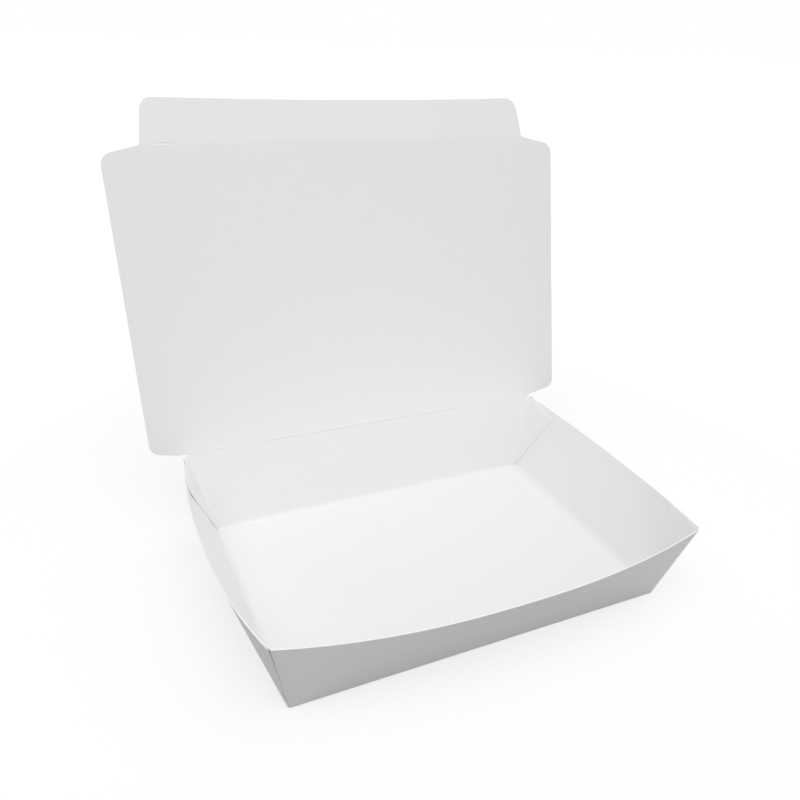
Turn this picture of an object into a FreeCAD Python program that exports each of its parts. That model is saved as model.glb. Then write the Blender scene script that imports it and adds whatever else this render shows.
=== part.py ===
import FreeCAD, Part
import Sketcher
import math
import os

# A folded paperboard takeaway box: a shallow tray with flared walls, a hinged lid
# with wings that overhang the sides, and a tuck flap along the lid's front crease.
# Millimetres. Origin at the centre of the base's underside, +X to the right along
# the hinge, +Y towards the hinge, +Z up. The lid is modelled as the box stands
# open, leaning back past upright.

V = FreeCAD.Vector
doc = FreeCAD.newDocument("takeaway_box")

# Driving dimensions, each named once.
SIZES = [
    ("board", "0.45", "thickness of the paperboard"),
    ("base_length", "180", "base between the side creases"),
    ("base_width", "128", "base between the front and back creases"),
    ("box_height", "42", "height of the four rim corners"),
    ("side_lean", "10.5", "how far the side walls lean out at the corners"),
    ("front_lean", "10", "how far the front wall leans out at the corners"),
    ("back_lean", "8.5", "how far the back wall leans out"),
    ("wall_cut", "42.5", "depth of the flared walls in the flat blank"),
    ("side_bow", "7.7", "further flare of a side wall in the middle of its rim"),
    ("front_bow", "9.5", "further flare of the front wall in the middle of its rim"),
    ("tab_width", "27.5", "width of a glued corner tab along the rim"),
    ("tab_drop", "0.3", "how far the tabs end below the rim"),
    ("seam_step", "1.6", "how far a side wall's board stops short of the corner fold"),
    ("hinge_relief", "0.5", "how far the hinge crease stops short of a rim corner"),
    ("flap_setback", "1.8", "how far the flap crease lies inside the front rim corners"),
    ("wing_low", "16", "overhang of the lid's wings past the rim corners, at the hinge"),
    ("wing_high", "17.5", "overhang of the lid's wings past the rim corners, at the flap"),
    ("wing_slant", "3.3", "how far the wing ends slope away from the creases"),
    ("wing_corner", "5.5", "corner radius of the wings"),
    ("crease_overhang", "0.5", "how far the flap crease runs past a rim corner"),
    ("flap_relief", "1.1", "how far the flap's root stops short of a rim corner"),
    ("flap_depth", "20", "flap crease to the flap's free edge"),
    ("flap_corner", "5", "corner radius of the tuck flap"),
    ("crease_gap", "0.4", "half of the crushed line that lets a crease bend"),
    ("rim_clearance", "0.2", "room between the rim and the closed lid"),
    ("lid_rise", "75.5", "slope of the open lid above level, leaning back"),
    ("flap_bend", "3.7", "how far the flap is bent back from the lid's plane"),
]
sheet = doc.addObject("Spreadsheet::Sheet", "sizes")
for row, (name, value, meaning) in enumerate(SIZES, start=1):
    sheet.set("A%d" % row, name)
    sheet.set("B%d" % row, value)
    sheet.set("C%d" % row, meaning)
    sheet.setAlias("B%d" % row, name)
doc.recompute()


def size(name):
    """The value of a driving dimension, read from the sheet."""
    return float(sheet.get(name))


board = size("board")
half_length = size("base_length") / 2
half_width = size("base_width") / 2
height = size("box_height")


# The tray's walls. A flared wall bends out of one flat piece of board: a flat
# triangle stands on the base crease, and on either side of it the board curls
# along straight lines that all start at the bottom corner. So the rim is bowed,
# and each half of the wall is a cone whose tip is the bottom corner.


def bow(half_chord, rise, aside):
    """Height of an arc over its chord, at a distance aside from the middle.

    half_chord is half of the chord and rise the arc's height in the middle.
    """
    radius = (half_chord ** 2 + rise ** 2) / (2 * rise)
    return math.sqrt(radius ** 2 - aside ** 2) - (radius - rise)


def polygon(corners):
    """Flat face through corner points."""
    return Part.Face(Part.makePolygon(corners + corners[:1]))


def closed(faces):
    """Solid bounded by faces that meet along their edges."""
    shell = Part.Shell(faces)
    shell.sewShape()
    solid = Part.Solid(shell)
    if solid.Volume < 0:
        solid.reverse()
    return solid


def block(low, high):
    """Solid between two rings of four corner points."""
    sides = [polygon([low[n], low[n - 1], high[n - 1], high[n]]) for n in range(4)]
    return closed([polygon(low), polygon(high)] + sides)


def flare(low_a, low_b, rim_a, rim_b, middle):
    """Solid between the flat wall through four corners and the bowed wall.

    low_a and low_b are the ends of the base crease, rim_a and rim_b the rim
    corners above them and middle the middle of the bowed rim.
    """
    chord = (rim_a + rim_b) * 0.5
    reach = middle - chord
    outward = reach * (1 / reach.Length)

    def half_rim(corner):
        half_chord = (corner - chord).Length
        quarter = (chord + corner) * 0.5
        between = quarter + outward * bow(half_chord, reach.Length, half_chord / 2)
        return Part.Arc(corner, between, middle).toShape()

    arcs = [half_rim(rim_a), half_rim(rim_b)]
    cones = []
    for tip, arc in zip((low_a, low_b), arcs):
        cones += Part.makeLoft([Part.Vertex(tip), Part.Wire([arc])], False, True).Faces
    top = Part.Face(Part.Wire([arcs[0], arcs[1].reversed(), Part.makeLine(rim_b, rim_a)]))
    flat_wall = polygon([low_a, low_b, rim_b, rim_a])
    return closed(cones + [polygon([low_a, low_b, middle]), top, flat_wall])


def envelope(side_in, end_in, floor_in, above=0, beyond=0):
    """Closed solid inside the tray's walls moved in by the given amounts.

    side_in moves the left and right walls, end_in the front and back walls and
    floor_in the floor. above carries the walls on past the rim. With beyond, only
    the side walls bound the solid: it runs that far past the front, back and floor.
    """
    side_slope = size("side_lean") / height
    front_slope = size("front_lean") / height
    back_slope = size("back_lean") / height
    side_shift = side_in * math.hypot(1, side_slope)
    front_shift = end_in * math.hypot(1, front_slope)
    back_shift = end_in * math.hypot(1, back_slope)

    def corners(z, past=0):
        right = half_length + z * side_slope - side_shift
        front = -half_width - z * front_slope + front_shift - past
        back = half_width + z * back_slope - back_shift + past
        return [V(-right, front, z), V(right, front, z), V(right, back, z), V(-right, back, z)]

    low = corners(floor_in)
    rim = corners(height + above)
    core = block(corners(floor_in - beyond, beyond), corners(height + above, beyond))
    side = (half_length, size("side_lean") + size("side_bow"), side_in)
    front = (half_width, size("front_lean") + size("front_bow"), end_in)
    walls = [(1, 2, V(1, 0, 0), side), (3, 0, V(-1, 0, 0), side)]
    if not beyond:
        walls.append((0, 1, V(0, -1, 0), front))
    flares = []
    for first, second, outward, (crease, lean, moved) in walls:
        rise = math.sqrt(size("wall_cut") ** 2 - lean ** 2)
        up_wall = (outward * lean + V(0, 0, rise)) * (1 / size("wall_cut"))
        inward = (outward * -rise + V(0, 0, lean)) * (1 / size("wall_cut"))
        middle = outward * crease + up_wall * (size("wall_cut") + above) + inward * moved
        if outward.y == 0:
            middle.y = (rim[first].y + rim[second].y) / 2
        flares.append(flare(low[first], low[second], rim[first], rim[second], middle))
    return core.multiFuse(flares).removeSplitter()


def end_region(end, foot, rim):
    """Block across the whole tray that holds one end of both side walls.

    end is -1 at the front and 1 at the back. foot and rim are the y and z of two
    points on the line that bounds the block across the side walls.
    """
    line = rim - foot
    low = foot - line * 0.25
    high = foot + line * 1.5
    far = end * (half_width + size("wall_cut"))
    across = half_length + size("wall_cut")
    outline = [
        V(-across, low.y, low.z),
        V(-across, high.y, high.z),
        V(-across, far, high.z),
        V(-across, far, low.z),
    ]
    return Part.Face(Part.makePolygon(outline + outline[:1])).extrude(V(2 * across, 0, 0))


def both_ends(place):
    """The front and back end_region blocks, from place(end) giving foot and rim."""
    return [end_region(end, *place(end)) for end in (-1, 1)]


def corner_line(end):
    """Foot and rim corner of the corner fold, seen along X."""
    lean = size("back_lean") if end > 0 else size("front_lean")
    return V(0, end * half_width, 0), V(0, end * (half_width + lean), height)


def tab_line(end):
    """Line of a tab's free edge, from the bottom corner to the rim, seen along X."""
    foot, corner = corner_line(end)
    middle = V(0, (size("back_lean") - size("front_lean")) / 2, height)
    half_chord = abs(corner.y - middle.y)
    aside = half_chord - size("tab_width")
    lean = size("side_lean") + size("side_bow")
    drop = height - math.sqrt(size("wall_cut") ** 2 - lean ** 2)
    slope = drop / math.hypot(drop, size("side_bow"))
    rise = bow(half_chord, math.hypot(drop, size("side_bow")), aside)
    return foot, middle + V(0, end * aside, -rise * slope)


def seam_line(end):
    """Edge of a side wall's board, beside the corner fold, seen along X."""
    foot, corner = corner_line(end)
    aside = V(0, -end * size("seam_step"), 0)
    return foot + aside, corner + aside


def feature(name, shape):
    """A document object that holds a shape."""
    made = doc.addObject("Part::Feature", name)
    made.Shape = shape
    return made


def boolean(kind, name, base, tool):
    """A document object that joins, cuts or intersects two others."""
    made = doc.addObject("Part::" + kind, name)
    made.Base = base
    made.Tool = tool
    return made


# The tray, one folded board. The front and back walls fold round the corners into
# tabs that are glued inside the side walls, so the board is double there, and the
# side walls' own board stops a little short of the fold. The tabs are shaped from
# within the walls' thickness, so that they join them, and end just below the rim.
clear = 2 * board
bite = 0.75 * board
past_bow = half_width
tab_root = envelope(bite, bite, bite)
tab_root.translate(V(0, 0, -size("tab_drop")))
behind_tabs = envelope(2 * board, board, board, clear, past_bow)
under_sides = envelope(board, 0, 0, clear, past_bow)
around = envelope(-board, -board, -board, clear)
walls = boolean(
    "Cut", "folded_walls",
    feature("outside", envelope(0, 0, 0)),
    feature("hollow", envelope(board, board, board, clear)))
tabs = boolean(
    "Common", "corner_tabs",
    feature("tab_layer", tab_root.cut(behind_tabs)),
    feature("tab_ends", Part.makeCompound(both_ends(tab_line))))
seams = boolean(
    "Common", "seam_cuts",
    feature("side_layer", around.cut(under_sides)),
    feature("seam_ends", Part.makeCompound(both_ends(seam_line))))
tray = boolean("Cut", "tray", boolean("Fuse", "glued_walls", walls, tabs), seams)
tray.Label = "tray"


def evaluate(target, formula):
    """Value of a sheet formula."""
    return float(target.evalExpression(formula))


def plate(name, half_outline, corners, radius):
    """A flat piece of board that swings on a crease.

    half_outline gives the right half of its outline as pairs of formulas, from
    the crease outwards; the left half mirrors it. Its own X runs along the crease,
    its Y away from it, and the board lies evenly on both sides of the XY plane.
    corners are the numbers of the outline points rounded by radius.
    """
    body = doc.addObject("PartDesign::Body", name)
    body.Label = name
    sketch = body.newObject("Sketcher::SketchObject", name + "_outline")
    for origin_feature in body.Origin.OriginFeatures:
        if origin_feature.Role == "XY_Plane":
            sketch.AttachmentSupport = [(origin_feature, "")]
    sketch.MapMode = "FlatFace"
    sketch.setExpression("AttachmentOffset.Base.z", "-sizes.board / 2")
    count = len(half_outline)
    points = []
    for number, (right, away) in enumerate(half_outline):
        points.append(V(evaluate(body, right), evaluate(body, away), 0))
    mirrored = [V(-point.x, point.y, 0) for point in reversed(points)]
    ring = points + mirrored
    for number in range(2 * count):
        sketch.addGeometry(Part.LineSegment(ring[number], ring[(number + 1) % (2 * count)]))
    for number in range(2 * count):
        after = (number + 1) % (2 * count)
        sketch.addConstraint(Sketcher.Constraint("Coincident", number, 2, after, 1))
    for number, (right, away) in enumerate(half_outline):
        mirror = 2 * count - 1 - number
        sketch.addConstraint(Sketcher.Constraint("Symmetric", mirror, 1, number, 1, -2))
        for kind, formula in (("DistanceX", right), ("DistanceY", away)):
            value = getattr(points[number], kind[-1].lower())
            index = sketch.addConstraint(
                Sketcher.Constraint(kind, -1, 1, number, 1, value))
            sketch.setExpression("Constraints[%d]" % index, formula)
    pad = body.newObject("PartDesign::Pad", name + "_board")
    pad.Profile = sketch
    pad.setExpression("Length", "sizes.board")
    doc.recompute()
    edges = []
    for number in corners:
        for corner in (points[number], mirrored[count - 1 - number]):
            for index, edge in enumerate(pad.Shape.Edges, start=1):
                ends = [vertex.Point - corner for vertex in edge.Vertexes]
                if all(math.hypot(end.x, end.y) < board / 10 for end in ends):
                    edges.append("Edge%d" % index)
    fillet = body.newObject("PartDesign::Fillet", name + "_corners")
    fillet.Base = (pad, edges)
    fillet.setExpression("Radius", radius)
    body.Tip = fillet
    return body


# The hinge crease lies over the middle of the back wall's top edge, just high
# enough that the closed lid clears the rim. The flap crease comes down a little
# inside the front rim corners. The flap narrows as the tray does, so that it goes
# in between the side walls.
hinge_y = "((sizes.base_width - sizes.board) / 2 + sizes.back_lean)"
hinge_z = "(sizes.box_height + sizes.board / 2 + sizes.rim_clearance)"
rim_half = "(sizes.base_length / 2 + sizes.side_lean)"
front_rim = "(sizes.base_width / 2 + sizes.front_lean)"
lid_reach = "(%s + %s - sizes.flap_setback)" % (hinge_y, front_rim)
wing_end = "sizes.crease_gap + sizes.wing_slant"
lid = plate("lid", [
    (rim_half + " - sizes.hinge_relief", "sizes.crease_gap"),
    (rim_half + " + sizes.wing_low", wing_end),
    (rim_half + " + sizes.wing_high", "%s - (%s)" % (lid_reach, wing_end)),
    (rim_half + " + sizes.crease_overhang", lid_reach + " - sizes.crease_gap"),
], (1, 2), "sizes.wing_corner")
flap = plate("tuck_flap", [
    (rim_half + " - sizes.flap_relief", "sizes.crease_gap"),
    (rim_half + " - sizes.side_lean * sizes.flap_depth / sizes.box_height", "sizes.flap_depth"),
], (1,), "sizes.flap_corner")

lid.Placement = FreeCAD.Placement(V(0, 0, 0), FreeCAD.Rotation(V(1, 0, 0), size("lid_rise")))
lid.setExpression("Placement.Base.y", hinge_y)
lid.setExpression("Placement.Base.z", hinge_z)
lid.setExpression("Placement.Rotation.Angle", "sizes.lid_rise")
flap_rise = size("lid_rise") - size("flap_bend")
flap.Placement = FreeCAD.Placement(V(0, 0, 0), FreeCAD.Rotation(V(1, 0, 0), flap_rise))
slope = "(sizes.lid_rise * 1 deg)"
flap.setExpression("Placement.Base.y", "%s + %s * cos(%s)" % (hinge_y, lid_reach, slope))
flap.setExpression("Placement.Base.z", "%s + %s * sin(%s)" % (hinge_z, lid_reach, slope))
flap.setExpression("Placement.Rotation.Angle", "sizes.lid_rise - sizes.flap_bend")
doc.recompute()

for item in doc.Objects:
    if "Invalid" in item.State or "Error" in item.State:
        raise RuntimeError("%s could not be built: %s" % (item.Name, item.State))

os.makedirs("parts", exist_ok=True)
for piece in (tray, lid, flap):
    if piece.Shape.isNull() or not piece.Shape.isValid():
        raise RuntimeError("%s has no sound shape" % piece.Label)
    piece.Shape.exportStep("parts/%s.step" % piece.Label)
    box = piece.Shape.BoundBox
    print("%s: %.2f cubic mm, %d solid, x %.2f to %.2f, y %.2f to %.2f, z %.2f to %.2f" % (
        piece.Label, piece.Shape.Volume, len(piece.Shape.Solids),
        box.XMin, box.XMax, box.YMin, box.YMax, box.ZMin, box.ZMax))
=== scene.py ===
# %% [markdown]
# # A takeaway box of folded paperboard
#
# The real box is one sheet of white coated paperboard. It is die cut flat, pressed with creases, folded
# up and glued at its four corners, and its lid and tuck flap swing on creases of the same sheet.
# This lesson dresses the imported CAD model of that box. Every surface is worked out with numpy as a
# function of two parameters, because bent paper is exactly that: lines that stay straight, set side by
# side. The board then gets its thickness, its cut edges, and a finish made of shader nodes.

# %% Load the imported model
import math

import bpy
import numpy as np
from mathutils import Matrix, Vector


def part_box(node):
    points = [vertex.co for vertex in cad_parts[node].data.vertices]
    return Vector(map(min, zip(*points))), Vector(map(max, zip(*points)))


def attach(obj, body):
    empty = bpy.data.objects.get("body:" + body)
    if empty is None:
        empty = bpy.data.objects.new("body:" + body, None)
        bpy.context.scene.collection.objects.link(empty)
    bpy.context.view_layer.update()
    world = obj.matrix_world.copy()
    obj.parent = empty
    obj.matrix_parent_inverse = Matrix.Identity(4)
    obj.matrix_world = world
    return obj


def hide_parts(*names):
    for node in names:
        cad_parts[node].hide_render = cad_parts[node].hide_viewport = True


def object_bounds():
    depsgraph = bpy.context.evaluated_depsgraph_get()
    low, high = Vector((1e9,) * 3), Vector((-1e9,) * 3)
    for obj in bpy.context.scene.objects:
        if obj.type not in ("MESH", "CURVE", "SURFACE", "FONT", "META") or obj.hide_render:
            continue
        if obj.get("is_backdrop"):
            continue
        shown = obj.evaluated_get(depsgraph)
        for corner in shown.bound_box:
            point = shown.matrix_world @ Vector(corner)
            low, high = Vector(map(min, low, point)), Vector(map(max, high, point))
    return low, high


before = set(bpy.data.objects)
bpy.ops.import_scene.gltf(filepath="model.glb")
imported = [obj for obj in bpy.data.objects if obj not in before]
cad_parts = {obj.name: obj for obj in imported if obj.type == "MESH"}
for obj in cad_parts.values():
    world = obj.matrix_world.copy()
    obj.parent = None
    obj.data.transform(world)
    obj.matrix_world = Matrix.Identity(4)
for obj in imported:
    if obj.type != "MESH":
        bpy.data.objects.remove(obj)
cad_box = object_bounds()

MM = 0.001
for node in ("tray", "lid", "tuck_flap"):
    low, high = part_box(node)
    print(node, "spans", [round((b - a) / MM, 1) for a, b in zip(low, high)], "mm")

# %% [markdown]
# ## The sheet's sizes
#
# These are the sizes of the CAD model, in millimetres. The origin is the middle of the base's underside,
# X runs along the hinge, Y towards the hinge and Z up. All shapes are worked out in millimetres, and
# become metres only when a mesh is made.

# %% Sizes of the folded sheet
BOARD = 0.45
HALF_LENGTH = 90.0
HALF_WIDTH = 64.0
HEIGHT = 42.0
SIDE_LEAN = 10.5
FRONT_LEAN = 10.0
BACK_LEAN = 8.5
WALL_CUT = 42.5
SIDE_BOW = 7.7
FRONT_BOW = 9.5

HINGE = np.array([0.0, 72.275, 42.425])
LID_RISE = math.radians(75.5)
LID_REACH = 144.475
FLAP_RISE = math.radians(75.5 - 3.7)
print("the sheet is", BOARD, "mm thick, and the base is", 2 * HALF_LENGTH, "by", 2 * HALF_WIDTH, "mm")

# %% [markdown]
# ## From a surface to a sheet of board
#
# A mesh of paper could be a flat grid with a Solidify modifier. Here the thickness is worked out as well,
# because the board is thinner where a crease was pressed into it. Grids that share a fold have the same
# points along it, so they are joined into one surface first, as the real box is one sheet. Each point
# then moves along its normal to both sides, and a strip of quads closes every cut edge.

# %% Quads of a grid, and their normals
def grid_quads(rows, columns):
    """Quads between neighbouring points of a grid that is numbered row by row."""
    first = (np.arange(rows - 1)[:, None] * columns + np.arange(columns - 1)).reshape(-1, 1)
    return first + np.array([0, 1, columns + 1, columns])


def quad_normals(points, quads):
    """Cross product of a quad's diagonals, which is along its normal and as long as twice its area."""
    a, b, c, d = points[quads].transpose(1, 0, 2)
    return np.cross(c - a, d - b)


# %% Grids joined into one surface
def joined(grids, towards):
    """One surface from grids of points and half thicknesses. Points in the same place become one.

    Each grid's quads are turned so that, taken together, they face the point towards.
    """
    points, quads, halves = [], [], []
    count = 0
    for grid, half in grids:
        flat = grid.reshape(-1, 3)
        faces = grid_quads(*grid.shape[:2])
        facing = quad_normals(flat, faces) * (towards - flat[faces].mean(axis=1))
        if facing.sum() < 0:
            faces = faces[:, ::-1]
        points.append(flat)
        quads.append(faces + count)
        halves.append(np.broadcast_to(half, grid.shape[:2]).reshape(-1))
        count += len(flat)
    points = np.concatenate(points)
    same_place = np.round(points, 4)
    kept, number = np.unique(same_place, axis=0, return_index=True, return_inverse=True)[1:]
    quads = number.reshape(-1)[np.concatenate(quads)]
    return points[kept], quads, np.concatenate(halves)[kept]


# %% The board's thickness
def board_shell(points, quads, half):
    """Closed sheet: each point moved by half along and against its normal, and the border closed.

    Returns points, quads and a number for each quad: 0 on the inside face, 1 outside, 2 on a cut edge.
    """
    normals = np.zeros_like(points)
    for corner in range(4):
        np.add.at(normals, quads[:, corner], quad_normals(points, quads))
    normals /= np.linalg.norm(normals, axis=1)[:, None]
    count = len(points)
    edges = np.concatenate([quads[:, [n, (n + 1) % 4]] for n in range(4)])
    there = edges[:, 0] * count + edges[:, 1]
    back = edges[:, 1] * count + edges[:, 0]
    a, b = edges[~np.isin(there, back)].T
    cut = np.stack([b, a, a + count, b + count], axis=1)
    moved = normals * half[:, None]
    kind = np.repeat([0, 1, 2], [len(quads), len(quads), len(cut)])
    faces = np.concatenate([quads, quads[:, ::-1] + count, cut])
    return np.concatenate([points + moved, points - moved]), faces, kind


# %% Put a shell into a mesh
SHARP_FROM = math.radians(40)


def board_piece(name, shell, body, node):
    """A mesh object of a shell that rides on a body and stands for a CAD node.

    The face attributes inside and cut say which quads face into the box and which are cut edges.
    """
    points, quads, kind = shell
    mesh = bpy.data.meshes.new(name)
    mesh.from_pydata((points * MM).tolist(), [], quads.tolist())
    mesh.polygons.foreach_set("use_smooth", np.ones(len(quads), dtype=bool))
    for attribute, number in (("inside", 0), ("cut", 2)):
        values = (kind == number).astype(np.float32)
        mesh.attributes.new(attribute, "FLOAT", "FACE").data.foreach_set("value", values)
    mesh.update()
    mesh.set_sharp_from_angle(angle=SHARP_FROM)
    piece = bpy.data.objects.new(name, mesh)
    bpy.context.scene.collection.objects.link(piece)
    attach(piece, body)
    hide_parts(node)
    print(name, "has", len(points), "points, and its border", int((kind == 2).sum()), "cut edges")
    return piece


# %% [markdown]
# ## Walls that flare
#
# The front wall and the side walls bulge outwards along their rims. Board can't stretch, so each of these
# walls is a flat triangle that stands on its crease, with a cone on either side of it whose tip is the
# bottom corner. At any level between crease and rim, the wall's line is half of the rim drawn in towards
# one corner, a straight run, and the other half drawn in towards the other corner.

# %% The tray's corners
SIDE_SLOPE = SIDE_LEAN / HEIGHT
FRONT_SLOPE = FRONT_LEAN / HEIGHT
BACK_SLOPE = BACK_LEAN / HEIGHT

# A box that is folded by hand isn't quite square. These are the shifts of the base's corners in X and Y,
# by side (-1 left, 1 right) and end (-1 front, 1 back).
HAND_FOLDED = {(-1, -1): (-1.9, -0.7), (1, -1): (0.7, 0.2), (-1, 1): (0.0, -0.2), (1, 1): (0.2, 0.2)}


def corner_point(right, back, z, side_in, end_in):
    """Point at height z on a corner line of the tray, with the side and the end wall moved in.

    right is 1 or -1, and back is 1 at the hinge and -1 at the front. The base's corners are where the
    folding left them, and the shift fades out towards the rim.
    """
    end_slope = BACK_SLOPE if back > 0 else FRONT_SLOPE
    x = HALF_LENGTH + z * SIDE_SLOPE - side_in * math.hypot(1, SIDE_SLOPE)
    y = HALF_WIDTH + z * end_slope - end_in * math.hypot(1, end_slope)
    shift = np.array(HAND_FOLDED[right, back] + (0.0,)) * (1 - z / HEIGHT)
    return np.array([right * x, back * y, z]) + shift


for z in (0, HEIGHT):
    print("at", z, "mm high, the front left corner is at", corner_point(-1, -1, z, 0, 0).round(1))


# %% A bowed rim
def rim_middle(outward, crease, lean, moved):
    """Middle of a rim: WALL_CUT up a wall that leans out by lean, then moved in along its normal."""
    rise = math.sqrt(WALL_CUT ** 2 - lean ** 2)
    sideways = crease + lean - moved * rise / WALL_CUT
    upwards = rise + moved * lean / WALL_CUT
    return np.array(outward) * sideways + np.array([0, 0, upwards])


RIM_POWER = 2.33
RIM_POINTS = 801


def rim_curve(corner_a, corner_b, middle):
    """Points of a rim. At u from -1 to 1 along the chord, it stands out by 1 - |u|^RIM_POWER."""
    u = np.linspace(-1, 1, RIM_POINTS)[:, None]
    chord = (corner_a + corner_b) / 2
    return chord + (corner_b - corner_a) / 2 * u + (middle - chord) * (1 - np.abs(u) ** RIM_POWER)


# %% A flared wall as a function of two parameters
class FlaredWall:
    """A wall between two bottom corners and a rim, read by distance along it and by level."""

    def __init__(self, low_a, low_b, rim):
        steps = np.linalg.norm(np.diff(rim, axis=0), axis=1)
        self.low_a = low_a
        self.low_b = low_b
        self.rim = rim
        self.along = np.concatenate([[0], np.cumsum(steps)])
        self.rim_length = self.along[-1]
        self.crease_length = np.linalg.norm(low_b - low_a)

    def length(self, level):
        """Length of the wall's line at a level: the rim's share plus the crease's share."""
        return level * self.rim_length + (1 - level) * self.crease_length

    def on_rim(self, distance):
        """Points of the rim at distances along it."""
        return np.stack([np.interp(distance, self.along, self.rim[:, n]) for n in range(3)], axis=-1)

    def at(self, run, level):
        """Points at distances run along the wall's line at a level from 0 to 1.

        Up to the middle they are low_a + level (rim - low_a), plus any straight run; past it they
        are the same from low_b.
        """
        run, level = np.broadcast_arrays(run, level)
        half = self.rim_length / 2
        along_crease = (self.low_b - self.low_a) / self.crease_length
        total = self.length(level)
        small = np.maximum(level, 1e-9)
        level_3 = level[..., None]
        near_a = self.on_rim(np.clip(run / small, 0, half))
        near_b = self.on_rim(self.rim_length - np.clip((total - run) / small, 0, half))
        straight_a = np.maximum(run - level * half, 0)[..., None]
        straight_b = np.maximum(total - run - level * half, 0)[..., None]
        from_a = self.low_a + level_3 * (near_a - self.low_a) + along_crease * straight_a
        from_b = self.low_b + level_3 * (near_b - self.low_b) - along_crease * straight_b
        return np.where((run < total / 2)[..., None], from_a, from_b)


# %% Walls at the middle of the board
MID = BOARD / 2


def side_wall(right, side_in):
    """Side wall from front to back, at a depth side_in inside the outer face."""
    middle = rim_middle((right, 0, 0), HALF_LENGTH, SIDE_LEAN + SIDE_BOW, side_in)
    rim_front = corner_point(right, -1, HEIGHT, side_in, MID)
    rim_back = corner_point(right, 1, HEIGHT, side_in, MID)
    middle[1] = (rim_front[1] + rim_back[1]) / 2
    low_front = corner_point(right, -1, MID, side_in, MID)
    low_back = corner_point(right, 1, MID, side_in, MID)
    return FlaredWall(low_front, low_back, rim_curve(rim_front, rim_back, middle))


TAB_DEPTH = 1.5 * BOARD
front_middle = rim_middle((0, -1, 0), HALF_WIDTH, FRONT_LEAN + FRONT_BOW, MID)
front_corners = [corner_point(right, -1, HEIGHT, TAB_DEPTH, MID) for right in (-1, 1)]
front = FlaredWall(
    corner_point(-1, -1, MID, TAB_DEPTH, MID),
    corner_point(1, -1, MID, TAB_DEPTH, MID),
    rim_curve(*front_corners, front_middle),
)
back_corners = [corner_point(right, 1, HEIGHT, TAB_DEPTH, MID) for right in (-1, 1)]
back = FlaredWall(
    corner_point(-1, 1, MID, TAB_DEPTH, MID),
    corner_point(1, 1, MID, TAB_DEPTH, MID),
    rim_curve(*back_corners, sum(back_corners) / 2),
)
print("front rim %.1f mm, back rim %.1f mm along the board" % (front.rim_length, back.rim_length))

# %% [markdown]
# ## The tray
#
# The front wall, the base and the back wall are one strip. A crease is never a knife edge: the board
# turns through a small arc, so each fold is a short Bezier curve from the base into the wall. The creases
# under the side walls are pressed only lightly, and there the board rolls up over several millimetres.
# The front and back walls turn round the corner folds into triangular tabs, which are glued inside the
# side walls. The side walls are the outer layer there, and stop a little short of the corner.

# %% Folds
# How far a fold reaches from its crease, in millimetres. A pair is at the crease's ends and in its middle.
FOLD_STEPS = np.linspace(0, 1, 9)
FRONT_FOLD = 0.6
BACK_FOLD = (1.0, 3.2)
SIDE_FOLD = (0.7, 4.2)
FRONT_CORNER_FOLD = 0.5
BACK_CORNER_FOLD = 2.4
FRONT_FULL_FROM = 0.08
BACK_FULL_FROM = 0.3


def folded(start, crease, end):
    """Quadratic Bezier curve from start to end, pulled towards the sharp crease between them."""
    t = FOLD_STEPS.reshape((-1,) + (1,) * start.ndim)
    return (1 - t) ** 2 * start + 2 * t * (1 - t) * crease + t ** 2 * end


def softened(share, arms, power):
    """Length of a fold's arms along a crease: the first value at its ends, rising to the second."""
    return arms[0] + (arms[1] - arms[0]) * (1 - np.abs(2 * share - 1) ** power)


LEVELS = np.append(np.linspace(0, 0.96, 24), [0.985, 1.0])


def levels_above(first):
    """Levels from the end of a fold, first, to the rim."""
    return first + (1 - first) * LEVELS[:, None]


print("each fold has", len(FOLD_STEPS), "steps and each wall", len(LEVELS), "levels")


# %% The strip of front wall, base and back wall
EVEN_COLUMNS = np.linspace(0, 1, 97)
COLUMNS = np.concatenate([[0, 0.0016], EVEN_COLUMNS[1:-1], [0.9984, 1]])
SIDE_COLUMNS = np.linspace(0, 1, 81)


def corner_arm(back_end, level):
    """Length of a corner fold's arms, which shrink to nothing at the bottom corner."""
    if back_end:
        return BACK_CORNER_FOLD * np.minimum(1, level / BACK_FULL_FROM)
    return FRONT_CORNER_FOLD * np.minimum(1, level / FRONT_FULL_FROM)


def end_wall(back_end, arms):
    """Rows of points across a front or back wall, from the fold to the rim, and the fold to the base.

    The fold starts on the base, arms away from the crease.
    """
    wall = back if back_end else front
    level = levels_above(arms / WALL_CUT)
    arm = corner_arm(back_end, level)
    rows = wall.at(arm + COLUMNS * (wall.length(level) - 2 * arm), level)
    crease = wall.at(COLUMNS * wall.length(0.0), 0.0)
    start = crease + np.array([0, -1.0 if back_end else 1.0, 0]) * arms[:, None]
    return rows, folded(start, crease, rows[0])


front_arms = np.full(len(COLUMNS), FRONT_FOLD)
back_arms = softened(COLUMNS, BACK_FOLD, power=8)
front_rows, front_fold = end_wall(False, front_arms)
back_rows, back_fold = end_wall(True, back_arms)
print("the front wall's rim is %.1f mm high in its middle" % front_rows[-1, len(COLUMNS) // 2, 2])

# %% [markdown]
# ## The side walls' free ends
#
# Each side wall is folded up over the tabs and glued to them, and its ends stay free. On the real box they
# stop a little short of the corners, by a different step at each. Past the glue the board still pushes
# outwards, so its ends stand out a little, and beside the hinge the very top curls away.

# %% How the free ends stand
# Steps, springs and curls are in millimetres, by side and end as in HAND_FOLDED.
SIDE_ARMS = softened(SIDE_COLUMNS, SIDE_FOLD, power=6)
SEAM_STEP = {(-1, -1): 1.0, (1, -1): 1.6, (-1, 1): 0.3, (1, 1): 0.5}
SPRING = {(-1, -1): 0.3, (1, -1): 0.3, (-1, 1): 1.0, (1, 1): 0.3}
SPRING_REACH = 18.0
CURL = {(-1, -1): 0.0, (1, -1): 0.0, (-1, 1): 0.9, (1, 1): 0.9}
CURL_REACH = 3.0
CURL_POWER = 8
SEAM_START = 0.15
SEAM_FULL_FROM = 0.1


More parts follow.
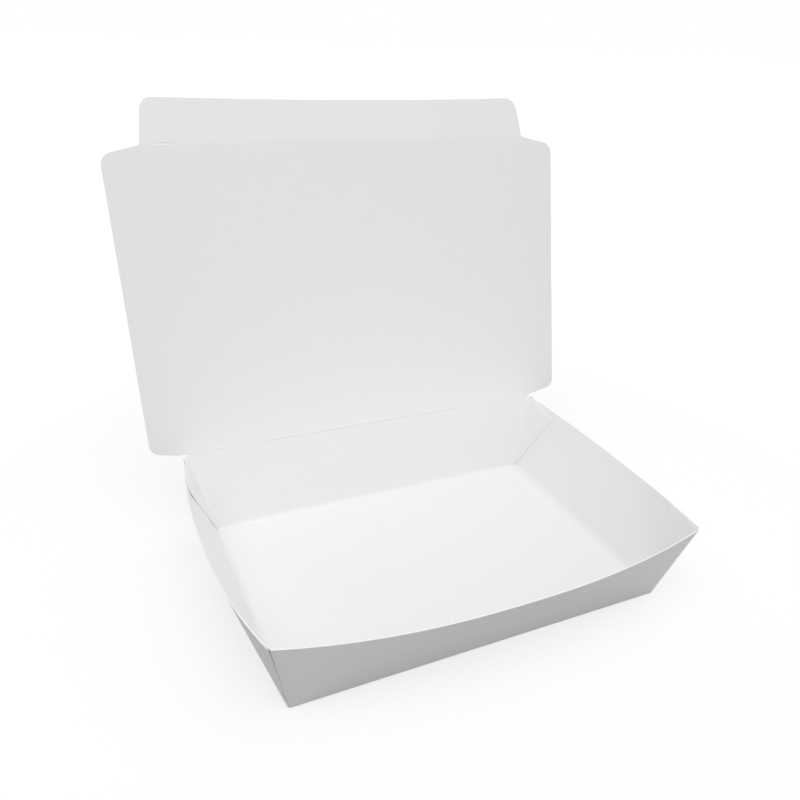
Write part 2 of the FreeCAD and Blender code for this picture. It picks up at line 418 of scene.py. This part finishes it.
def sprung(right, end, from_corner, level):
    """How far a side wall stands out near one of its free ends.

    It grows with the square of the level, and fades along the wall as exp(-distance / reach).
    """
    return SPRING[right, end] * level ** 2 * np.exp(-from_corner / SPRING_REACH)


def curled(right, end, from_corner, level):
    """How far the top of that free end curls away from the tab, which the glue doesn't reach there."""
    return CURL[right, end] * level ** CURL_POWER * np.exp(-(from_corner / CURL_REACH) ** 2)


def seam_step(right, end, level):
    """Distance from a corner to the side wall's free end.

    At the bottom corner it is SEAM_START of its full size, which it reaches at SEAM_FULL_FROM.
    """
    grown = np.minimum(1, level / SEAM_FULL_FROM)
    return SEAM_STEP[right, end] * (SEAM_START + (1 - SEAM_START) * grown)


print("seam steps in mm:", sorted(SEAM_STEP.values()))


# %% Side walls
def side_rows(right):
    """Points of a side wall, from the base through the fold to the rim, short of the corners."""
    wall = side_wall(right, MID)

    def run_at(level):
        first, last = seam_step(right, -1, level), wall.length(level) - seam_step(right, 1, level)
        return first + SIDE_COLUMNS * (last - first)

    level = levels_above(SIDE_ARMS / WALL_CUT)
    run = run_at(level)
    rows = wall.at(run, level)
    for end, from_corner in ((-1, run), (1, wall.length(level) - run)):
        out = sprung(right, end, from_corner, level) + curled(right, end, from_corner, level)
        rows[..., 0] += right * out
    crease = wall.at(run_at(0.0), 0.0)
    start = crease - np.array([right, 0, 0]) * SIDE_ARMS[:, None]
    return np.concatenate([folded(start, crease, rows[0])[:-1], rows])


left_rows, right_rows = side_rows(-1), side_rows(1)
print("the side walls' rims stand %.1f mm apart" % (right_rows[..., 0].max() - left_rows[..., 0].min()))

# %% The base lies between the starts of the four folds
BACK_ROLL_FADE = 6.0
share = COLUMNS[:, None]
base = left_rows[0][:, None] * (1 - share) + right_rows[0][:, None] * share
before_back = back.low_a[1] - base[..., 1]
base[..., 1] -= (back_arms - BACK_FOLD[0]) * np.exp(-np.maximum(before_back, 0) / BACK_ROLL_FADE)
half_way = base[len(base) // 2]
print("base %.1f mm long inside its folds" % (half_way[-1, 0] - half_way[0, 0]))

# %% [markdown]
# ## A hinge that is only a crease
#
# The lid has no pin. The board was crushed thin along a line, and it bends there. To look unbroken at every
# angle, the back wall and the lid both end in a half round about the hinge's own axis, so that the two
# turn inside each other. The thin neck of each half round is where the rule pressed the board.

# %% The top of the back wall, where the lid hangs
NECK_REACH = 0.5
HINGE_NECK = 0.97
HINGE_PRESS = 0.2
PRESSED_RUN = (-60, 57, 1.0)
ROUND = np.radians([90, 60, 35, 15])[:, None]


def between(x, low, high, blur):
    """1 between low and high and 0 outside, with soft ends: a product of two logistic steps."""
    return 1 / (1 + np.exp(-(x - low) / blur)) / (1 + np.exp((x - high) / blur))


def neck_at(x):
    """Half thickness at the hinge. The crease was pressed more deeply in its middle than near its ends."""
    return MID * (HINGE_NECK - HINGE_PRESS * between(x, *PRESSED_RUN))


up_to_hinge = HINGE - back_rows[-1, len(COLUMNS) // 2]
up_to_hinge /= np.linalg.norm(up_to_hinge)
wall_top = back_rows[-1] * [1, 0, 0] + HINGE * [0, 1, 1]
neck = neck_at(wall_top[:, 0])
neck_start = wall_top - up_to_hinge * NECK_REACH
round_end = wall_top + up_to_hinge * (neck * np.cos(ROUND))[..., None]
back_top = np.concatenate([neck_start[None], round_end])
back_half = np.concatenate([np.full((1, len(neck)), MID), neck * np.sin(ROUND)])
print("the board is %.2f mm thick at the hinge's middle" % (2 * neck[len(neck) // 2]))

# %% The whole strip
CORNER_GROOVE = 0.65
strip = np.concatenate([
    front_rows[::-1], front_fold[-2::-1], base, back_fold[:-1], back_rows[:-1], back_top])
strip_half = np.full(strip.shape[:2], MID)
strip_half[-len(back_half):] = back_half

# The front's corner folds are crisp: the rule left a groove where each of them starts.
strip_half[:len(front_rows), [0, -1]] = CORNER_GROOVE * MID
print("the strip is a grid of", strip.shape[0], "by", strip.shape[1], "points")

# %% [markdown]
# ## Corner tabs
#
# A tab is the end wall's own board, turned round the corner fold and glued inside the side wall, so it
# takes the side wall's shape one thickness further in. From inside the box, only its cut edges and their
# thin shadows show. The back left tab's top corner has come loose, which gives it a darker shadow.

# %% How the tabs are cut and pressed
TAB_WIDTHS = {(-1, -1): 26.0, (1, -1): 26.0, (-1, 1): 28.0, (1, 1): 24.5}
TAB_SLOPE = {-1: 0.0, 1: 0.17}
TAB_ACROSS = np.append(np.linspace(0, 0.97, 24)[1:], [0.985, 1])
TAB_HOLD = 4.0
EDGE_PRESSED = 0.5
PRESS_FULL_FROM = 0.125
LOOSE_CORNER = {(-1, -1): 0.0, (1, -1): 0.0, (-1, 1): 0.45, (1, 1): 0.0}
print("the tabs are from", min(TAB_WIDTHS.values()), "to", max(TAB_WIDTHS.values()), "mm wide at the top")


# %% Corner tabs
def tab(right, back_end):
    """Points of a corner fold and its tab, level by level from the bottom corner to the tab's top.

    The fold turns from the end wall into the side; then each level runs along the inner layer of the
    side wall, to the straight free edge that starts at the bottom corner too. The top edge slopes down
    from a back corner by TAB_SLOPE. The glue holds the tab to the side wall, so past TAB_HOLD it springs
    out as the wall does. Its edges are pressed thin against the wall, but the corner where they meet
    has come loose and stands in by LOOSE_CORNER. Returns points and half thicknesses.
    """
    end = back if back_end else front
    corner = (right, 1 if back_end else -1)
    arms = back_arms if back_end else front_arms
    layer = side_wall(right, TAB_DEPTH)
    outer_layer = side_wall(right, MID)
    level = levels_above(arms[:1] / WALL_CUT)
    arm = corner_arm(back_end, level)
    end_run = end.length(level) - arm if right > 0 else arm
    corner_run = end.length(level) if right > 0 else 0 * level
    start = end.at(end_run, level)[:, 0]
    crease = end.at(corner_run, level)[:, 0]

    def on_layer(run, at_level, pressed=0.0):
        points = [wall.at(wall.length(at_level) - run if back_end else run, at_level)
                  for wall in (layer, outer_layer)]
        points = points[0] + (points[1] - points[0]) * np.expand_dims(pressed * EDGE_PRESSED / 2, -1)
        held = 1 - np.exp(-(run / TAB_HOLD) ** 2)
        points[..., 0] += right * held * sprung(*corner, run, at_level)
        return points

    fold = folded(start, crease, on_layer(arm, level)[:, 0]).transpose(1, 0, 2)
    width = TAB_WIDTHS[corner]
    lowered = level * (1 - TAB_ACROSS * width * TAB_SLOPE[corner[1]] / WALL_CUT)
    pressed = np.maximum(level >= 1, TAB_ACROSS >= 1) * np.minimum(1, TAB_ACROSS / PRESS_FULL_FROM)
    tab_points = on_layer(arm + TAB_ACROSS * (width * lowered - arm), lowered, pressed)
    tab_points[..., 0] -= right * LOOSE_CORNER[corner] * TAB_ACROSS ** 5 * level ** 6
    half = np.concatenate([np.full(fold.shape[:2], MID), MID * (1 - EDGE_PRESSED * pressed)], axis=1)
    return np.concatenate([fold, tab_points], axis=1), half


# %% The whole tray
grids = [(strip, strip_half), (left_rows, MID), (right_rows, MID)]
grids += [tab(right, back_end) for right in (-1, 1) for back_end in (False, True)]
ABOVE_BASE = np.array([0.0, 0.0, 80.0])
tray = board_piece("tray_board", board_shell(*joined(grids, ABOVE_BASE)), "tray", "tray")

# %% [markdown]
# ## The lid
#
# The lid is a panel as wide as the tray, with a wing at each side that overhangs the bowed side wall.
# Its outline is a few straight runs with rounded corners, so half of it is enough: each row of the grid
# reaches as far as the outline does there, to the left and to the right.

# %% An outline with rounded corners
ARC_FINENESS = 2.5


def rounded_outline(corners, radii, step):
    """Points about step apart along straight runs, whose corners are circular arcs of closer points.

    An arc of radius r starts r / tan(half the angle) before the corner, and turns about a centre that
    lies on the line that halves the angle.
    """
    corners = np.array(corners, dtype=float)
    pieces = [corners[:1]]
    for before, here, after, radius in zip(corners, corners[1:], corners[2:], radii):
        back_along = (before - here) / np.linalg.norm(before - here)
        onwards = (after - here) / np.linalg.norm(after - here)
        half_angle = math.acos(np.clip(back_along @ onwards, -1, 1)) / 2
        centre_way = (back_along + onwards) / np.linalg.norm(back_along + onwards)
        centre = here + centre_way * radius / math.sin(half_angle)
        first = here + back_along * radius / math.tan(half_angle) - centre
        last = here + onwards * radius / math.tan(half_angle) - centre
        turn = math.pi - 2 * half_angle
        t = np.linspace(0, 1, max(3, int(turn * radius / step * ARC_FINENESS)))[:, None]
        arc = centre + (first * np.sin((1 - t) * turn) + last * np.sin(t * turn)) / math.sin(turn)
        pieces.append(arc)
    pieces.append(corners[-1:])
    made = [pieces[0]]
    for piece in pieces[1:]:
        gap = piece[0] - made[-1][-1]
        share = np.linspace(0, 1, max(2, int(np.linalg.norm(gap) / step)) + 1)[1:-1, None]
        made.append(made[-1][-1] + gap * share)
        made.append(piece)
    return np.concatenate(made)


# %% Panels that swing on a crease
ACROSS = np.linspace(-1, 1, 161)
THINNEST = 0.25


def placed(points, origin, rise):
    """Points of a panel turned about X by rise and moved to its crease."""
    turned = np.array([
        [1, 0, 0],
        [0, math.cos(rise), -math.sin(rise)],
        [0, math.sin(rise), math.cos(rise)],
    ])
    return points @ turned.T + origin


def panel_grid(left, right, inserts):
    """Rows across a panel between its left and its right outline, at the places of all their points.

    Each outline gives half widths and places along the panel. inserts are more places that get a row.
    Places that round to the same hundredth of a millimetre share one row.
    """
    places = np.unique(np.round(np.concatenate([left[:, 1], right[:, 1], inserts]), 2))
    left_width = np.interp(places, left[:, 1], left[:, 0])[:, None]
    right_width = np.interp(places, right[:, 1], right[:, 0])[:, None]
    x = np.where(ACROSS < 0, ACROSS * left_width, ACROSS * right_width)
    return np.stack(np.broadcast_arrays(x, places[:, None], 0.0), axis=-1)


def rounded_end(distance, neck):
    """Half thickness at a distance from a crease's axis, from the half-round end to the full board.

    On the far side of the axis it is the height of a circle of radius neck, and on the near side it
    rises from neck to MID within NECK_REACH.
    """
    circle = np.sqrt(np.maximum(neck ** 2 - np.minimum(distance, 0) ** 2, (THINNEST * neck) ** 2))
    rise = np.clip(distance / NECK_REACH, 0, 1)
    return circle + (MID - neck) * rise ** 2 * (3 - 2 * rise)


# %% The lid's grid
LID_LEFT = [(100.0, -0.2), (100.0, 0.3), (104.3, 0.4), (116.4, 2.9), (117.9, LID_REACH - 4.0),
            (101.4, LID_REACH - 0.5), (100.4, LID_REACH + 0.1), (100.4, LID_REACH + 0.2)]
LID_RIGHT = [(100.0, -0.2), (100.0, 0.6), (101.0, 0.9), (116.8, 3.8), (118.0, LID_REACH - 4.2),
             (101.0, LID_REACH - 0.5), (100.0, LID_REACH + 0.1), (100.0, LID_REACH + 0.2)]
LID_RADII = (0.1, 0.1, 5.2, 6.2, 0.4, 0.1)
LID_STEP = 1.5
crease_places = np.array([-0.17, -0.15, -0.1, 0.0, 0.15, 0.3, 0.4, 0.5, 0.6, 0.7, 0.85, 1.0, 1.2])
lid_inserts = np.concatenate([crease_places, LID_REACH - crease_places])
lid_left, lid_right = (rounded_outline(side, LID_RADII, LID_STEP) for side in (LID_LEFT, LID_RIGHT))
lid_grid = panel_grid(lid_left, lid_right, lid_inserts)
lid_y = lid_grid[..., 1]
print("the lid is a grid of", lid_grid.shape[0], "by", lid_grid.shape[1], "points")

# %% [markdown]
# ## The pressed crease lines
#
# A crease is pressed into the outside of the board with a blunt rule, so a low bead stands up on the
# inside. On the hinge it catches the light as a thin line with its own shadow below. It was pressed more
# deeply in the middle of the hinge than near its ends.

# %% The bead beside the hinge, and the flap's crease
BEAD_HEIGHT = 0.2
BEAD_PLACE = 0.6
BEAD_WIDTH = 0.22
FAINT_BEAD = 0.1
SHORT_BEADS = ((69, 72, 0.4), (-84.5, -81.5, 0.4))
SHORT_BEAD = 0.9
BEAD_ENDS = (-97, 97, 0.8)

lid_x = lid_grid[..., 0]
bead_along = FAINT_BEAD + between(lid_x, *PRESSED_RUN)
bead_along += sum(SHORT_BEAD * between(lid_x, *run) for run in SHORT_BEADS)
bead_along *= between(lid_x, *BEAD_ENDS)
lid_grid[..., 2] += BEAD_HEIGHT * bead_along * np.exp(-((lid_y - BEAD_PLACE) / BEAD_WIDTH) ** 2)
print("the bead stands up %.2f mm at most" % lid_grid[..., 2].max())

# %% The lid's thickness, and the lid
FLAP_NECK = 0.97
DEEP_PRESS = 0.8
DEEP_RUN = (-93, -86, 0.4)


def flap_neck_at(x):
    """Half thickness at the flap's crease, which was nearly cut through near its left end."""
    return FLAP_NECK * MID - DEEP_PRESS * MID * between(x, *DEEP_RUN)


hinge_end = rounded_end(lid_y, neck_at(lid_x))
flap_end = rounded_end(LID_REACH - lid_y, flap_neck_at(lid_x))
lid_halves = np.minimum(hinge_end, flap_end)
IN_FRONT = np.array([0.0, -400.0, 250.0])
lid_surface = joined([(placed(lid_grid, HINGE, LID_RISE), lid_halves)], IN_FRONT)
lid = board_piece("lid_board", board_shell(*lid_surface), "lid", "lid")

# %% [markdown]
# ## The tuck flap
#
# The flap is a narrow strip beyond the lid's front crease. It tucks in behind the front wall when the box
# is shut, so its ends slope in as the tray's side walls do, and its outer corners are rounded.

# %% The flap's grid
FLAP_DEPTH = 19.6
FLAP_DIP = 1.1
FLAP_TILT = 0.13
FLAP_LEFT = [(100.6, -0.2), (100.2, 1.0), (97.4, FLAP_DEPTH), (60.0, FLAP_DEPTH)]
FLAP_RIGHT = [(99.2, -0.2), (98.9, 1.0), (95.7, FLAP_DEPTH), (60.0, FLAP_DEPTH)]
FLAP_STEP = 0.9


def up_to(outline, place):
    """The part of an outline before it first reaches a place along the panel, with that point."""
    return outline[:np.argmax(outline[:, 1] > place - 1e-6) + 1]


left_edge = up_to(rounded_outline(FLAP_LEFT, (0.5, 6.0), FLAP_STEP), FLAP_DEPTH)
right_edge = up_to(rounded_outline(FLAP_RIGHT, (0.5, 7.0), FLAP_STEP), FLAP_DEPTH)
flap_grid = panel_grid(left_edge, right_edge, crease_places)
print("the flap is a grid of", flap_grid.shape[0], "by", flap_grid.shape[1], "points")

# %% The flap's dip, its thickness, and the flap
flap_y = flap_grid[..., 1]
flap_halves = rounded_end(flap_y, flap_neck_at(flap_grid[..., 0]))
out_along = np.clip(flap_y / FLAP_DEPTH, 0, 1)
flap_grid[..., 1] -= out_along * (FLAP_DIP * (1 - ACROSS ** 2) + FLAP_TILT * ACROSS)
CREASE = placed(np.array([0.0, LID_REACH, 0.0]), HINGE, LID_RISE)
flap_surface = joined([(placed(flap_grid, CREASE, FLAP_RISE), flap_halves)], IN_FRONT)
flap = board_piece("flap_board", board_shell(*flap_surface), "flap", "tuck_flap")

# %% [markdown]
# ## Coated paperboard
#
# The board is white all through. A thin clay coat gives its outside a soft sheen, the inside is lined
# with a film that is a little smoother, and its cut edges are matt bare fibre, painted lighter than the
# coat as a highlight. The coat isn't quite even: it has a faint mottle a few millimetres wide, and the
# fibres under it leave a fine grain along the sheet.

# %% Node helpers
def new_material(name):
    """A material with its node tree, its shader and its output."""
    material = bpy.data.materials.new(name)
    material.use_nodes = True
    return material, material.node_tree.nodes, material.node_tree.links


def add_node(nodes, kind, **settings):
    """A node with its settings, and its inputs where a setting's name is an input's name."""
    node = nodes.new(kind)
    for key, value in settings.items():
        if key in node.inputs:
            node.inputs[key].default_value = value
        else:
            setattr(node, key, value)
    return node


# %% The paperboard's material: what it reads
board_material, nodes, links = new_material("coated_paperboard")
shader = nodes["Principled BSDF"]
shader.inputs["Specular IOR Level"].default_value = 0.25
shader.inputs["IOR"].default_value = 1.5
place = nodes.new("ShaderNodeTexCoord")
cut_share = add_node(nodes, "ShaderNodeAttribute", attribute_name="cut")
inside_share = add_node(nodes, "ShaderNodeAttribute", attribute_name="inside")

# %% Its colour: a mottle, and a painted highlight on the cut edges
mottle = add_node(nodes, "ShaderNodeTexNoise", Scale=180.0, Detail=3.0, Roughness=0.55)
links.new(place.outputs["Object"], mottle.inputs["Vector"])
tint = add_node(nodes, "ShaderNodeMix", data_type="RGBA")
tint.inputs["A"].default_value = (0.857, 0.859, 0.859, 1)
tint.inputs["B"].default_value = (0.875, 0.873, 0.869, 1)
links.new(mottle.outputs["Fac"], tint.inputs["Factor"])
# The cut edges get a lighter colour than the coat: a painted highlight, as if they caught the light.
edge_painted_highlight = add_node(nodes, "ShaderNodeMix", data_type="RGBA")
edge_painted_highlight.inputs["B"].default_value = (0.93, 0.928, 0.92, 1)
links.new(cut_share.outputs["Fac"], edge_painted_highlight.inputs["Factor"])
links.new(tint.outputs["Result"], edge_painted_highlight.inputs["A"])
links.new(edge_painted_highlight.outputs["Result"], shader.inputs["Base Color"])

# %% Its relief: fibres along the sheet
fibre_space = add_node(nodes, "ShaderNodeMapping", Scale=(900.0, 3200.0, 3200.0))
links.new(place.outputs["Object"], fibre_space.inputs["Vector"])
fibres = add_node(nodes, "ShaderNodeTexNoise", Scale=1.0, Detail=4.0, Roughness=0.6)
links.new(fibre_space.outputs["Vector"], fibres.inputs["Vector"])
relief = add_node(nodes, "ShaderNodeBump", Strength=0.35, Distance=0.00002)
links.new(fibres.outputs["Fac"], relief.inputs["Height"])
links.new(relief.outputs["Normal"], shader.inputs["Normal"])

# %% Its gloss: smoother inside than outside, and matt on a cut edge
gloss = add_node(nodes, "ShaderNodeMapRange")
gloss.inputs["To Min"].default_value = 0.5
gloss.inputs["To Max"].default_value = 0.4
links.new(inside_share.outputs["Fac"], gloss.inputs["Value"])
edge_gloss = add_node(nodes, "ShaderNodeMix", data_type="FLOAT")
edge_gloss.inputs["B"].default_value = 0.8
links.new(cut_share.outputs["Fac"], edge_gloss.inputs["Factor"])
links.new(gloss.outputs["Result"], edge_gloss.inputs["A"])
links.new(edge_gloss.outputs["Result"], shader.inputs["Roughness"])
for piece in (tray, lid, flap):
    piece.data.materials.append(board_material)
print("the board's material has", len(nodes), "nodes")

# %% [markdown]
# ## Floor, light and camera
#
# The box stands on a pale floor under soft studio light. A light path node tells which rays come from the
# camera, a mirror or a window. For those alone, the floor adds a light of its own that makes it white where
# nothing shades it, so it still keeps the box's shadow. Light that bounces up from the floor knows nothing
# of this, and neither does the light that falls on the box.

# %% Rays that look at the background
def looking_rays(nodes, links):
    """A socket that is 1 for camera, glossy and transmission rays and 0 for all others."""
    path = nodes.new("ShaderNodeLightPath")
    mirrored = add_node(nodes, "ShaderNodeMath", operation="MAXIMUM")
    links.new(path.outputs["Is Camera Ray"], mirrored.inputs[0])
    links.new(path.outputs["Is Glossy Ray"], mirrored.inputs[1])
    through = add_node(nodes, "ShaderNodeMath", operation="MAXIMUM")
    links.new(mirrored.outputs[0], through.inputs[0])
    links.new(path.outputs["Is Transmission Ray"], through.inputs[1])
    return through.outputs[0]


# %% The floor
FLOOR_HALF = 4.0
FLOOR_COLOUR = 0.3
FLOOR_LIFT = 0.7
LIFT_FROM = 0.25
LIFT_FULL = 0.9

# The floor lies a hair below the base, because two faces in one plane would show through each other.
FLOOR_GAP = 0.0002
floor_mesh = bpy.data.meshes.new("floor")
floor_corners = np.array([(-1, -1, 0), (1, -1, 0), (1, 1, 0), (-1, 1, 0)]) * FLOOR_HALF
floor_corners[:, 2] -= FLOOR_GAP
floor_mesh.from_pydata(floor_corners.tolist(), [], [(0, 1, 2, 3)])
floor = bpy.data.objects.new("floor", floor_mesh)
bpy.context.scene.collection.objects.link(floor)
floor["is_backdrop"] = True

# %% The floor's material
floor_material, nodes, links = new_material("floor_paper")
paper = nodes["Principled BSDF"]
paper.inputs["Base Color"].default_value = (FLOOR_COLOUR, FLOOR_COLOUR, FLOOR_COLOUR, 1)
paper.inputs["Roughness"].default_value = 0.9
paper.inputs["Specular IOR Level"].default_value = 0.1
place = nodes.new("ShaderNodeTexCoord")
distance = add_node(nodes, "ShaderNodeVectorMath", operation="LENGTH")
links.new(place.outputs["Object"], distance.inputs[0])
lift = nodes.new("ShaderNodeMapRange")
lift.inputs["From Min"].default_value = LIFT_FROM
lift.inputs["From Max"].default_value = LIFT_FULL
lift.inputs["To Min"].default_value = FLOOR_LIFT
lift.inputs["To Max"].default_value = 1.0
links.new(distance.outputs["Value"], lift.inputs["Value"])
seen_lift = add_node(nodes, "ShaderNodeMath", operation="MULTIPLY")
links.new(lift.outputs["Result"], seen_lift.inputs[0])
links.new(looking_rays(nodes, links), seen_lift.inputs[1])
glow = nodes.new("ShaderNodeEmission")
links.new(seen_lift.outputs[0], glow.inputs["Strength"])
both = nodes.new("ShaderNodeAddShader")
links.new(paper.outputs[0], both.inputs[0])
links.new(glow.outputs[0], both.inputs[1])
links.new(both.outputs[0], nodes["Material Output"].inputs["Surface"])
floor_mesh.materials.append(floor_material)
print("the floor is", 2 * FLOOR_HALF, "m wide, and its paper's colour is", FLOOR_COLOUR)

# %% [markdown]
# ## The light
#
# A studio's tent gives light from all round, so most of the light is a plain world, a little brighter to
# the front and the right than behind and to the left. Three large soft lamps add the rest: two light the
# inside from above, and one behind the box keeps the lid's back from going dark. Light Path swaps the
# world for plain white wherever it is looked at.

# %% The sky
SKY = 0.635
SKY_LEAN = (0.2, -0.24, 0.0)
world = bpy.data.worlds.new("studio")
world.use_nodes = True
bpy.context.scene.world = world
nodes = world.node_tree.nodes
links = world.node_tree.links
background = nodes["Background"]
background.inputs["Color"].default_value = (1, 1, 1, 1)
direction = nodes.new("ShaderNodeTexCoord")
lean = add_node(nodes, "ShaderNodeVectorMath", operation="DOT_PRODUCT")
lean.inputs[1].default_value = SKY_LEAN
links.new(direction.outputs["Generated"], lean.inputs[0])
sky = add_node(nodes, "ShaderNodeMath", operation="ADD")
sky.inputs[1].default_value = SKY
links.new(lean.outputs["Value"], sky.inputs[0])
strength = nodes.new("ShaderNodeMapRange")
links.new(looking_rays(nodes, links), strength.inputs["Value"])
links.new(sky.outputs[0], strength.inputs["To Min"])
links.new(strength.outputs["Result"], background.inputs["Strength"])

# %% The lamps
LAMP_AIM = (0, 0, 0.06)


def soft_box(name, place, width, power):
    """A square area lamp that faces the box from a place in metres."""
    lamp = bpy.data.lights.new(name, "AREA")
    lamp.size = width
    lamp.energy = power
    holder = bpy.data.objects.new(name, lamp)
    back_way = np.array(place, dtype=float) - LAMP_AIM
    back_way /= np.linalg.norm(back_way)
    side_way = np.cross([0, 1, 0.001], back_way)
    side_way /= np.linalg.norm(side_way)
    turn = np.eye(4)
    turn[:3, :3] = np.stack([side_way, np.cross(back_way, side_way), back_way], axis=1)
    turn[:3, 3] = place
    holder.matrix_world = Matrix(turn.tolist())
    bpy.context.scene.collection.objects.link(holder)
    print(name, "gives", power, "W from", place, "m")


soft_box("left_light", (-0.7, -0.2, 1.5), 1.0, 4.4)
soft_box("front_light", (-0.1, -0.65, 1.6), 1.2, 7.0)
soft_box("back_light", (0.1, 1.6, 0.4), 1.0, 6.0)

# %% [markdown]
# ## The camera
#
# The photograph was taken from the front left, a little above the box. The camera's place, turn and lens
# were worked out from the pixels of the box's corners. The picture's centre isn't the lens's centre, which
# the small shift takes care of.

# %% The camera
PICTURE = 800
CAMERA_PLACE = np.array([-153.076, -283.995, 248.085])
YAW, PITCH, ROLL = np.radians([27.683, 29.436, 3.57])
FOCAL_PIXELS = 803.394
LENS_CENTRE = (426.565, 445.62)

ahead = np.array([math.sin(YAW) * math.cos(PITCH), math.cos(YAW) * math.cos(PITCH), -math.sin(PITCH)])
level_right = np.array([math.cos(YAW), -math.sin(YAW), 0])
level_up = np.cross(level_right, ahead)
image_right = math.cos(ROLL) * level_right + math.sin(ROLL) * level_up
image_up = -math.sin(ROLL) * level_right + math.cos(ROLL) * level_up
turn = np.eye(4)
turn[:3, :3] = np.stack([image_right, image_up, -ahead], axis=1)
turn[:3, 3] = CAMERA_PLACE * MM

lens = bpy.data.cameras.new("photo_camera")
lens.sensor_width = 36
lens.lens = lens.sensor_width * FOCAL_PIXELS / PICTURE
lens.shift_x = (PICTURE / 2 - LENS_CENTRE[0]) / PICTURE
lens.shift_y = (LENS_CENTRE[1] - PICTURE / 2) / PICTURE
lens.clip_start = 0.01
camera = bpy.data.objects.new("photo_camera", lens)
camera.matrix_world = Matrix(turn.tolist())
bpy.context.scene.collection.objects.link(camera)
bpy.context.scene.camera = camera
bpy.context.scene.view_settings.view_transform = "Standard"
print("lens %.1f mm" % lens.lens)

# %% Compare the sizes and finish
made_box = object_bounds()
for name, (low, high) in (("CAD", cad_box), ("made", made_box)):
    print(name, "box", [round((b - a) / MM, 1) for a, b in zip(low, high)], "mm")
